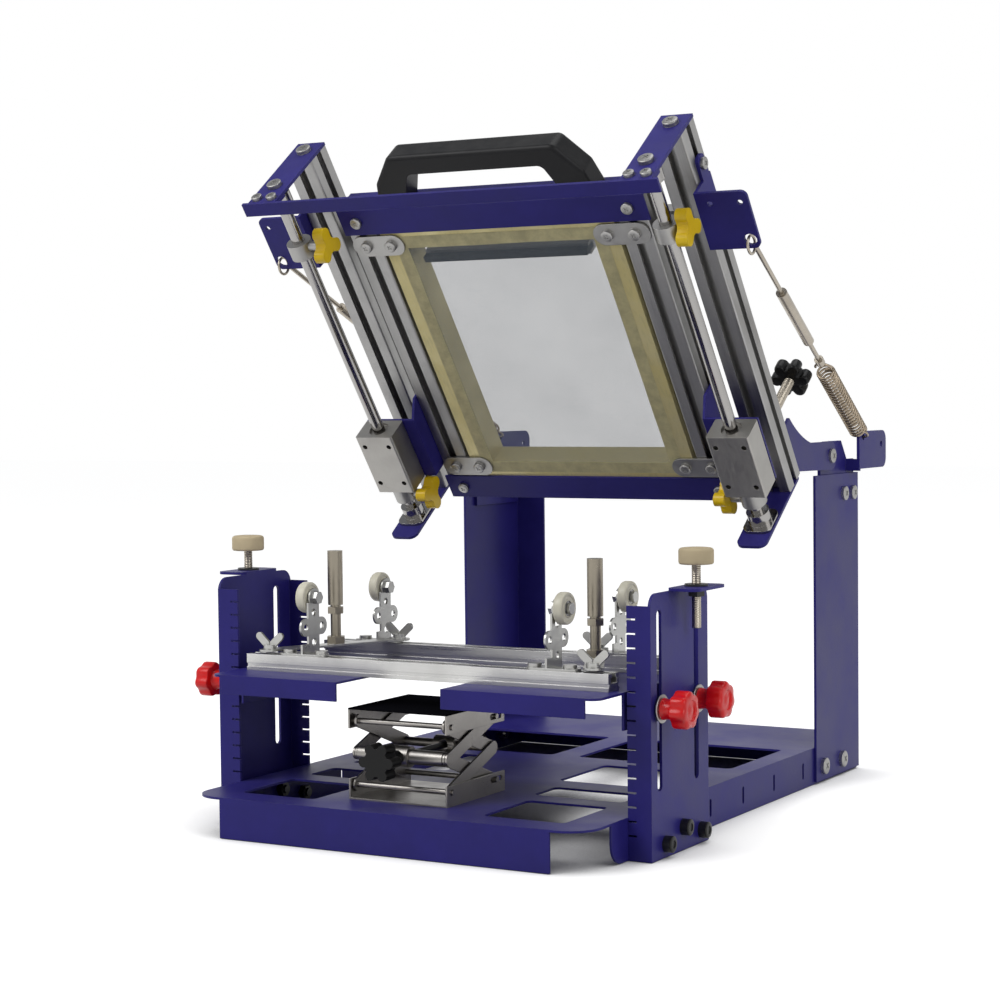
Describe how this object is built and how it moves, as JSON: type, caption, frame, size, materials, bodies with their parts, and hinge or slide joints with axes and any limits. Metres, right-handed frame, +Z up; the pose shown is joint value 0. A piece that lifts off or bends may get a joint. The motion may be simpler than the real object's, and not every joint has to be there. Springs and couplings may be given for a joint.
{
  "type": "tabletop screen printing press",
  "caption": "Tabletop screen printing press: slotted base and columns, height-adjustable shelf with roller stands, scissor jack, and a sprung tilting head that carries a sliding screen.",
  "frame": {"origin": "centre of the footprint on the bench", "axes": "+Z up, front of the press towards -Y, +X to the right seen from the front"},
  "size_m": [0.51, 0.648, 0.6268],
  "materials": {
    "blue_powder_coat": "satin powder coat",
    "bare_aluminium": "satin extruded",
    "ground_shaft": "ground",
    "zinc_plate": "zinc plated",
    "dark_steel": "brushed",
    "red_plastic": "gloss",
    "yellow_plastic": "gloss",
    "black_plastic": "fine texture",
    "beige_rubber": "matt",
    "white_plastic": "satin",
    "coated_frame": "yellowish emulsion film",
    "screen_fabric": "fine see-through weave",
    "dark_rubber": "matt"
  },
  "bodies": {
    "base": {"base_plate": "blue_powder_coat", "front_columns": "blue_powder_coat", "rear_posts": "blue_powder_coat", "hinge_lugs": "blue_powder_coat", "base_screws": "zinc_plate", "jack_base": "dark_steel"},
    "head": {"outer_profiles": "bare_aluminium", "end_caps": "blue_powder_coat", "front_bar": "blue_powder_coat", "guide_shafts": "ground_shaft", "hinge_gussets": "blue_powder_coat", "side_brackets": "blue_powder_coat", "head_screws": "zinc_plate", "squeegee_beam": "bare_aluminium"},
    "carriage": {"inner_profiles": "bare_aluminium", "crossbars": "blue_powder_coat", "screen_frame": "coated_frame", "screen_mesh": "screen_fabric", "frame_clamps": "zinc_plate", "handle": "black_plastic", "bearing_blocks": "bare_aluminium", "carriage_brackets": "blue_powder_coat"},
    "squeegee": {"squeegee_holder": "bare_aluminium", "squeegee_blade": "dark_rubber"},
    "shelf": {"shelf": "blue_powder_coat", "shelf_bushes": "zinc_plate", "rails": "bare_aluminium"},
    "jack_lower_outer": {"jack_arm_lower_outer": "dark_steel"},
    "jack_lower_inner": {"jack_arm_lower_inner": "dark_steel"},
    "jack_upper_inner": {"jack_arm_upper_inner": "dark_steel"},
    "jack_upper_outer": {"jack_arm_upper_outer": "dark_steel"},
    "jack_tube": {"jack_front_tube": "dark_steel"},
    "jack_spindle": {"jack_screw": "black_plastic"},
    "jack_table": {"jack_top": "dark_steel"},
    "roller_stand_left": {"roller_stand_left": "zinc_plate"},
    "rest_stop_left": {"rest_stop_left": "beige_rubber"},
    "star_knob_left": {"star_knob_left": "black_plastic"},
    "spring_left": {"spring_left": "zinc_plate"},
    "turnbuckle_left": {"turnbuckle_left": "zinc_plate"},
    "red_knob_front_left": {"red_knob_front_left": "red_plastic"},
    "roller_front_left": {"roller_front_left": "white_plastic"},
    "stop_collar_front_left": {"stop_collar_front_left": "zinc_plate"},
    "yellow_knob_front_left": {"yellow_knob_front_left": "yellow_plastic"},
    "red_knob_rear_left": {"red_knob_rear_left": "red_plastic"},
    "roller_rear_left": {"roller_rear_left": "white_plastic"},
    "stop_collar_rear_left": {"stop_collar_rear_left": "zinc_plate"},
    "yellow_knob_rear_left": {"yellow_knob_rear_left": "yellow_plastic"},
    "roller_stand_right": {"roller_stand_right": "zinc_plate"},
    "rest_stop_right": {"rest_stop_right": "beige_rubber"},
    "star_knob_right": {"star_knob_right": "black_plastic"},
    "spring_right": {"spring_right": "zinc_plate"},
    "turnbuckle_right": {"turnbuckle_right": "zinc_plate"},
    "red_knob_front_right": {"red_knob_front_right": "red_plastic"},
    "roller_front_right": {"roller_front_right": "white_plastic"},
    "stop_collar_front_right": {"stop_collar_front_right": "zinc_plate"},
    "yellow_knob_front_right": {"yellow_knob_front_right": "yellow_plastic"},
    "red_knob_rear_right": {"red_knob_rear_right": "red_plastic"},
    "roller_rear_right": {"roller_rear_right": "white_plastic"},
    "stop_collar_rear_right": {"stop_collar_rear_right": "zinc_plate"},
    "yellow_knob_rear_right": {"yellow_knob_rear_right": "yellow_plastic"}
  },
  "joints": [
    {"name": "head_tilt", "type": "hinge", "parent": "base", "child": "head", "pos_m": [0, 0.194, 0.323], "axis": [1, 0, 0], "range_deg": [0, 44.6]},
    {"name": "carriage_slide", "type": "slide", "parent": "head", "child": "carriage", "axis": [0, 0.6004, -0.7997], "range_m": [-0.2045, 0]},
    {"name": "squeegee_lift", "type": "slide", "parent": "head", "child": "squeegee", "axis": [0, 0.7997, 0.6004], "range_m": [0, 0.014]},
    {"name": "shelf_lowering", "type": "slide", "parent": "base", "child": "shelf", "axis": [0, 0, -1], "range_m": [-0.07, 0.02]},
    {"name": "roller_stand_left_slide", "type": "slide", "parent": "shelf", "child": "roller_stand_left", "axis": [-1, 0, 0], "range_m": [-0.06, 0.008]},
    {"name": "rest_stop_left_lowering", "type": "slide", "parent": "base", "child": "rest_stop_left", "axis": [0, 0, -1], "range_m": [-0.012, 0.01]},
    {"name": "star_knob_left_turn", "type": "hinge", "parent": "head", "child": "star_knob_left", "pos_m": [-0.191, 0.09957, 0.38215], "axis": [0, -0.7997, -0.6004], "continuous": true},
    {"name": "spring_left_swing", "type": "hinge", "parent": "base", "child": "spring_left", "pos_m": [-0.2115, 0.259, 0.34], "axis": [1, 0, 0], "range_deg": [0, 38.1]},
    {"name": "turnbuckle_left_draw", "type": "slide", "parent": "spring_left", "child": "turnbuckle_left", "axis": [0, -0.8941, 0.4478], "range_m": [0, 0.0194]},
    {"name": "red_knob_front_left_turn", "type": "hinge", "parent": "shelf", "child": "red_knob_front_left", "pos_m": [-0.235, -0.232, 0.126], "axis": [-1, 0, 0], "continuous": true},
    {"name": "roller_front_left_spin", "type": "hinge", "parent": "roller_stand_left", "child": "roller_front_left", "pos_m": [-0.1315, -0.232, 0.206], "axis": [1, 0, 0], "continuous": true},
    {"name": "stop_collar_front_left_slide", "type": "slide", "parent": "head", "child": "stop_collar_front_left", "axis": [0, 0.6004, -0.7997], "range_m": [-0.028, 0.195]},
    {"name": "yellow_knob_front_left_turn", "type": "hinge", "parent": "stop_collar_front_left", "child": "yellow_knob_front_left", "pos_m": [-0.191, -0.14891, 0.52822], "axis": [1, 0, 0], "continuous": true},
    {"name": "red_knob_rear_left_turn", "type": "hinge", "parent": "shelf", "child": "red_knob_rear_left", "pos_m": [-0.235, -0.16, 0.126], "axis": [-1, 0, 0], "continuous": true},
    {"name": "roller_rear_left_spin", "type": "hinge", "parent": "roller_stand_left", "child": "roller_rear_left", "pos_m": [-0.1315, -0.112, 0.206], "axis": [1, 0, 0], "continuous": true},
    {"name": "stop_collar_rear_left_slide", "type": "slide", "parent": "head", "child": "stop_collar_rear_left", "axis": [0, 0.6004, -0.7997], "range_m": [0, 0.006]},
    {"name": "yellow_knob_rear_left_turn", "type": "hinge", "parent": "stop_collar_rear_left", "child": "yellow_knob_rear_left", "pos_m": [-0.191, 0.03122, 0.28831], "axis": [1, 0, 0], "continuous": true},
    {"name": "roller_stand_right_slide", "type": "slide", "parent": "shelf", "child": "roller_stand_right", "axis": [1, 0, 0], "range_m": [-0.06, 0.008]},
    {"name": "rest_stop_right_lowering", "type": "slide", "parent": "base", "child": "rest_stop_right", "axis": [0, 0, -1], "range_m": [-0.012, 0.01]},
    {"name": "star_knob_right_turn", "type": "hinge", "parent": "head", "child": "star_knob_right", "pos_m": [0.191, 0.09957, 0.38215], "axis": [0, -0.7997, -0.6004], "continuous": true},
    {"name": "spring_right_swing", "type": "hinge", "parent": "base", "child": "spring_right", "pos_m": [0.2115, 0.259, 0.34], "axis": [1, 0, 0], "range_deg": [0, 38.1]},
    {"name": "turnbuckle_right_draw", "type": "slide", "parent": "spring_right", "child": "turnbuckle_right", "axis": [0, -0.8941, 0.4478], "range_m": [0, 0.0194]},
    {"name": "red_knob_front_right_turn", "type": "hinge", "parent": "shelf", "child": "red_knob_front_right", "pos_m": [0.235, -0.232, 0.126], "axis": [1, 0, 0], "continuous": true},
    {"name": "roller_front_right_spin", "type": "hinge", "parent": "roller_stand_right", "child": "roller_front_right", "pos_m": [0.1315, -0.232, 0.206], "axis": [1, 0, 0], "continuous": true},
    {"name": "stop_collar_front_right_slide", "type": "slide", "parent": "head", "child": "stop_collar_front_right", "axis": [0, 0.6004, -0.7997], "range_m": [-0.028, 0.195]},
    {"name": "yellow_knob_front_right_turn", "type": "hinge", "parent": "stop_collar_front_right", "child": "yellow_knob_front_right", "pos_m": [0.191, -0.14891, 0.52822], "axis": [1, 0, 0], "continuous": true},
    {"name": "red_knob_rear_right_turn", "type": "hinge", "parent": "shelf", "child": "red_knob_rear_right", "pos_m": [0.235, -0.16, 0.126], "axis": [1, 0, 0], "continuous": true},
    {"name": "roller_rear_right_spin", "type": "hinge", "parent": "roller_stand_right", "child": "roller_rear_right", "pos_m": [0.1315, -0.112, 0.206], "axis": [1, 0, 0], "continuous": true},
    {"name": "stop_collar_rear_right_slide", "type": "slide", "parent": "head", "child": "stop_collar_rear_right", "axis": [0, 0.6004, -0.7997], "range_m": [0, 0.006]},
    {"name": "yellow_knob_rear_right_turn", "type": "hinge", "parent": "stop_collar_rear_right", "child": "yellow_knob_rear_right", "pos_m": [0.191, 0.03122, 0.28831], "axis": [-1, 0, 0], "continuous": true},
    {"name": "jack_lowering", "type": "hinge", "parent": "base", "child": "jack_lower_outer", "pos_m": [-0.008, -0.27, 0.048], "axis": [-1, 0, 0], "range_deg": [-8, 11]},
    {"name": "jack_lower_cross", "type": "hinge", "parent": "jack_lower_outer", "child": "jack_lower_inner", "pos_m": [-0.008, -0.23253, 0.062], "axis": [1, 0, 0], "range_deg": [-16, 22]},
    {"name": "jack_rear_knee", "type": "hinge", "parent": "jack_lower_outer", "child": "jack_upper_inner", "pos_m": [-0.008, -0.19506, 0.076], "axis": [1, 0, 0], "range_deg": [-16, 22]},
    {"name": "jack_upper_cross", "type": "hinge", "parent": "jack_upper_inner", "child": "jack_upper_outer", "pos_m": [-0.008, -0.23253, 0.09], "axis": [1, 0, 0], "range_deg": [-22, 16]},
    {"name": "jack_table_level", "type": "hinge", "parent": "jack_upper_inner", "child": "jack_table", "pos_m": [-0.008, -0.27, 0.104], "axis": [1, 0, 0], "range_deg": [-11, 8]},
    {"name": "jack_tube_level", "type": "hinge", "parent": "jack_lower_inner", "child": "jack_tube", "pos_m": [-0.008, -0.27, 0.076], "axis": [1, 0, 0], "range_deg": [-11, 8]},
    {"name": "jack_screw_turn", "type": "hinge", "parent": "jack_tube", "child": "jack_spindle", "pos_m": [-0.008, -0.27, 0.076], "axis": [0, 1, 0], "range_deg": [-396, 288]}
  ],
  "couplings": [
    {"joint": "spring_left_swing", "follows": "head_tilt", "ratio": 0.85209},
    {"joint": "turnbuckle_left_draw", "follows": "head_tilt", "m_per_rad": 0.024802},
    {"joint": "spring_right_swing", "follows": "head_tilt", "ratio": 0.85209},
    {"joint": "turnbuckle_right_draw", "follows": "head_tilt", "m_per_rad": 0.024802},
    {"joint": "jack_lower_cross", "follows": "jack_lowering", "ratio": 2},
    {"joint": "jack_rear_knee", "follows": "jack_lowering", "ratio": 2},
    {"joint": "jack_upper_cross", "follows": "jack_lowering", "ratio": -2},
    {"joint": "jack_table_level", "follows": "jack_lowering", "ratio": -1},
    {"joint": "jack_tube_level", "follows": "jack_lowering", "ratio": -1},
    {"joint": "jack_screw_turn", "follows": "jack_lowering", "ratio": -36}
  ]
}
